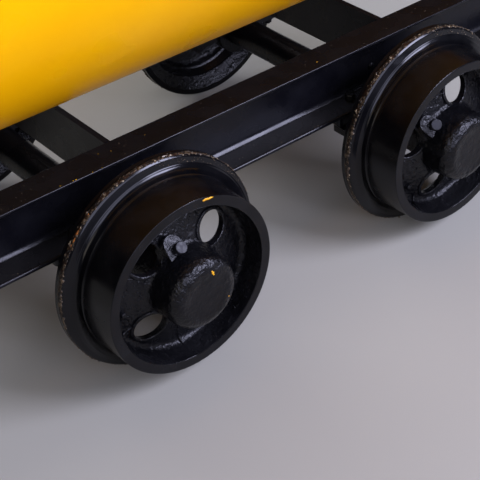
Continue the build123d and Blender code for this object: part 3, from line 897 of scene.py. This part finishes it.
def makeTubWelds(sizes, tubIn):
    beads = []
    end, radius, axis = tubIn["end"], tubIn["radius"], tubIn["axis"]
    rimFoot = tubIn["wallTop"] - tubIn["rim"]
    low = rimFoot - sizes["under"]
    proud, half = sizes["proud"], sizes["half"]
    for side in (-1, 1):
        # the end plate's seam round the trough
        seam = ringPoints(side * (end - sizes["seamIn"]), radius + sizes["seamOut"], axis, -180, 0, 72)
        seam = [(seam[0][0], seam[0][1], rimFoot), *seam, (seam[0][0], radius, rimFoot)]
        beads.append(weld(seam, sizes["seamBead"]))
        # stitches under the rim angle's leg
        for k in range(sizes["rimStitches"]):
            x, y = sizes["rimFirst"] + sizes["rimPitch"] * k, side * (radius + proud)
            beads.append(weld([(x - half, y, low), (x + half, y, low)], sizes["edgeBead"]))
        x = side * (end + proud)
        for y in sizes["endStitches"]:
            beads.append(weld([(x, y - half, low), (x, y + half, low)], sizes["edgeBead"]))
        # stitches along the cross of flat bars, and the trunnion's flange on it
        barEdge = tubIn["barHalf"] + sizes["under"]
        for edge in (-barEdge, barEdge):
            for first, last in sizes["uprightBar"]:
                beads.append(weld([(x, edge, first), (x, edge, last)], sizes["barBead"]))
            z = axis + edge
            for first, last in sizes["levelBar"]:
                beads.append(weld([(x, first, z), (x, last, z)], sizes["barBead"]))
                beads.append(weld([(x, -last, z), (x, -first, z)], sizes["barBead"]))
        face = side * (end + tubIn["bar"] + proud)
        reach, ring = sizes["flangeReach"], tubIn["flange"] + sizes["flangeOut"]
        for quarter in (0, 90, 180, 270):
            arc = ringPoints(face, ring, axis, quarter - reach, quarter + reach, 10)
            beads.append(weld(arc, sizes["edgeBead"]))
        for across in (-1, 1):
            for line in sizes["lugs"]:
                beads.append(weld([(face, across * y, axis - depth) for y, depth in line], sizes["barBead"]))
    finished(joined(beads), "tubWelds", tubPaint, "tub")


standWeldSizes = {
    "lift": 0.0010,                                          # of a bead's middle over the base
    "outerY": 0.2966, "outerX": (0.683, 0.733),              # across a leg's toe
    "innerY": (0.2360, 0.2880), "innerX": (0.6812, 0.6948),  # along a leg's two faces
    "headY": 0.0850, "headX": (0.6825, 0.6937), "headDepths": (0.147, 0.004),    # under the tub's axis
    "bufferX": 0.8206, "bufferY": 0.1104, "bufferZ": (0.283, 0.383),
    "longY": 0.100, "longZ": (0.2726, 0.3934),               # of the buffer's long edges
    "collarX": 0.6948, "collar": 0.0708,
    "footBead": 0.0030, "headBead": 0.0026, "bufferBead": 0.0034,
}


def makeStandWelds(sizes, frameIn, axis):
    beads = []
    foot = frameIn["top"] + frameIn["standBase"] + sizes["lift"]
    for end in (-1, 1):
        bufferX = end * sizes["bufferX"]
        for side in (-1, 1):
            # the legs on their bases and against the head's sides
            y = side * sizes["outerY"]
            beads.append(weld([(end * x, y, foot) for x in sizes["outerX"]], sizes["footBead"]))
            for x in sizes["innerX"]:
                beads.append(weld([(end * x, side * y, foot) for y in sizes["innerY"]], sizes["footBead"]))
            y = side * sizes["headY"]
            for x in sizes["headX"]:
                line = [(end * x, y, axis - depth) for depth in sizes["headDepths"]]
                beads.append(weld(line, sizes["headBead"]))
            # the buffer's upright edges on the end beam
            y = side * sizes["bufferY"]
            beads.append(weld([(bufferX, y, z) for z in sizes["bufferZ"]], sizes["bufferBead"]))
        # the bearing's collar on the head, and the buffer's long edges
        collar = ringPoints(end * sizes["collarX"], sizes["collar"], axis, 0, 360, 48)
        beads.append(weld(collar, sizes["footBead"]))
        for z in sizes["longZ"]:
            line = [(bufferX, y, z) for y in (-sizes["longY"], sizes["longY"])]
            beads.append(weld(line, sizes["bufferBead"]))
    finished(joined(beads), "standWelds", channelPaint, "chassis")


makeFrameWelds(frameWeldSizes, frameSizes)
makeTubWelds(tubWeldSizes, tubSizes)
makeStandWelds(standWeldSizes, frameSizes, tubSizes["axis"])
print("weld beads: frame, stands and tub")


# Drops of yellow enamel on the black parts

dropSizes = {
    "wheel": [
        # radius, angle, height, half sizes along, across and out, all in mm
        (47.2, 71.0, 38.5, 2.4, 3.0, 0.7),
        (50.6, 74.2, 38.5, 2.0, 1.5, 0.5),
        (44.0, 67.6, 38.5, 1.5, 1.8, 0.5),
        (51.5, 333.2, 38.5, 1.2, 1.0, 0.4),
    ],
    "ring": [
        (171.0, 75.4, 0.0, 8.4, 2.2, 1.0),
        (172.4, 73.0, 0.0, 5.0, 1.5, 0.9),
        (169.6, 77.6, 0.0, 3.8, 1.6, 0.7),
    ],
    "beam": [
        # x, y and z, then the half sizes, all in mm
        (123.7, -279.6, 403.0, 1.2, 0.9, 0.4), (-441.5, -296.3, 403.0, 1.7, 1.0, 0.4),
        (-446.5, -295.4, 403.0, 0.9, 0.7, 0.3), (-407.7, -296.5, 403.0, 1.0, 0.8, 0.3),
        (-388.0, -295.8, 403.0, 0.7, 0.6, 0.3), (-471.8, -293.6, 403.0, 0.8, 0.8, 0.3),
        (-368.9, -255.9, 403.0, 0.8, 0.6, 0.3), (-346.9, -263.8, 403.0, 0.6, 0.6, 0.3),
        (-272.7, -262.6, 403.0, 0.7, 0.5, 0.3),
    ],
}


def flatDrop(spot, along, across, out, turn):
    bpy.ops.mesh.primitive_ico_sphere_add(subdivisions=2, radius=0.001, location=(0, 0, 0))
    drop = bpy.context.object
    drop.scale = (along, across, out)
    bpy.ops.object.transform_apply(location=True, rotation=True, scale=True)
    pick(drop, "vertices", lambda v: v.co.x > 0 and v.co.y > 0)
    bpy.ops.transform.translate(value=(0.0003 * along, -0.0002 * across, 0))
    bpy.ops.object.mode_set(mode="OBJECT")
    bpy.ops.object.shade_smooth()
    drop.matrix_world = Matrix.Translation(spot) @ turn
    return drop


def makeDrops(sizes):
    outward = Matrix.Rotation(math.pi / 2, 4, "X")
    drops = []
    for r, a, h, along, across, out in sizes["wheel"] + sizes["ring"]:
        turn = Matrix.Rotation(math.radians(90 - a), 4, "Y") @ outward
        drops.append(flatDrop(onWheel(-1, -1, r, a, h), along, across, out, turn))
    finished(joined(drops), "paintDropsOnWheel", splashPaint, "wheelset_rear")
    level = Matrix.Identity(4)
    drops = [flatDrop(Vector((x, y, z)) / 1000, along, across, out, level)
             for x, y, z, along, across, out in sizes["beam"]]
    finished(joined(drops), "paintDropsOnBeam", splashPaint, "chassis")


makeDrops(dropSizes)
print("drops: enamel on wheel and beam")


# Flakes of scale and bright rust on the near rear wheel's rim

flakeSizes = {
    # radius, angle, height, half sizes along, across and out, all in mm
    "scale": [
        (210.2, 81.0, -101.5, 5.0, 2.2, 0.9), (210.2, 78.0, -98.5, 2.0, 1.2, 0.7),
        (210.1, 95.5, -99.0, 1.8, 1.2, 0.6),
    ],
    "rust": [
        (210.1, 138.0, -100.0, 5.5, 2.2, 0.8), (210.1, 141.3, -98.8, 4.5, 1.8, 0.8),
        (210.1, 135.4, -99.2, 3.0, 1.5, 0.7), (210.1, 144.3, -100.0, 2.5, 1.4, 0.6),
        (210.1, 128.0, -101.0, 2.0, 1.2, 0.5),
    ],
}


def makeFlakes(sizes):
    # scale that lifts off the rim is pale and dull, fresh rust orange and powdery
    for kind, first, second in (("scale", "#b9b5aa", "#8f897d"), ("rust", "#b56a22", "#744416")):
        material, tree, shader = newMaterial(kind + "Flake")
        place = objectPlace(tree)
        cloud = speckle(tree, place, 0.0016, 0.42, 0.60, 3.0)
        tree.links.new(blendColour(tree, cloud, first, second), shader.inputs["Base Color"])
        shader.inputs["Roughness"].default_value = 0.75
        relief(tree, shader, noiseOf(tree, place, 800.0), 0.6, 0.0005)
        flakes = []
        for r, a, h, along, across, out in sizes[kind]:
            turn = Matrix.Rotation(math.radians(90 - a), 4, "Y")
            flakes.append(flatDrop(onWheel(-1, -1, r, a, h), along, across, out, turn))
        finished(joined(flakes), kind + "OnRim", material, "wheelset_rear")


makeFlakes(flakeSizes)
print("flakes: scale and rust on the rim")
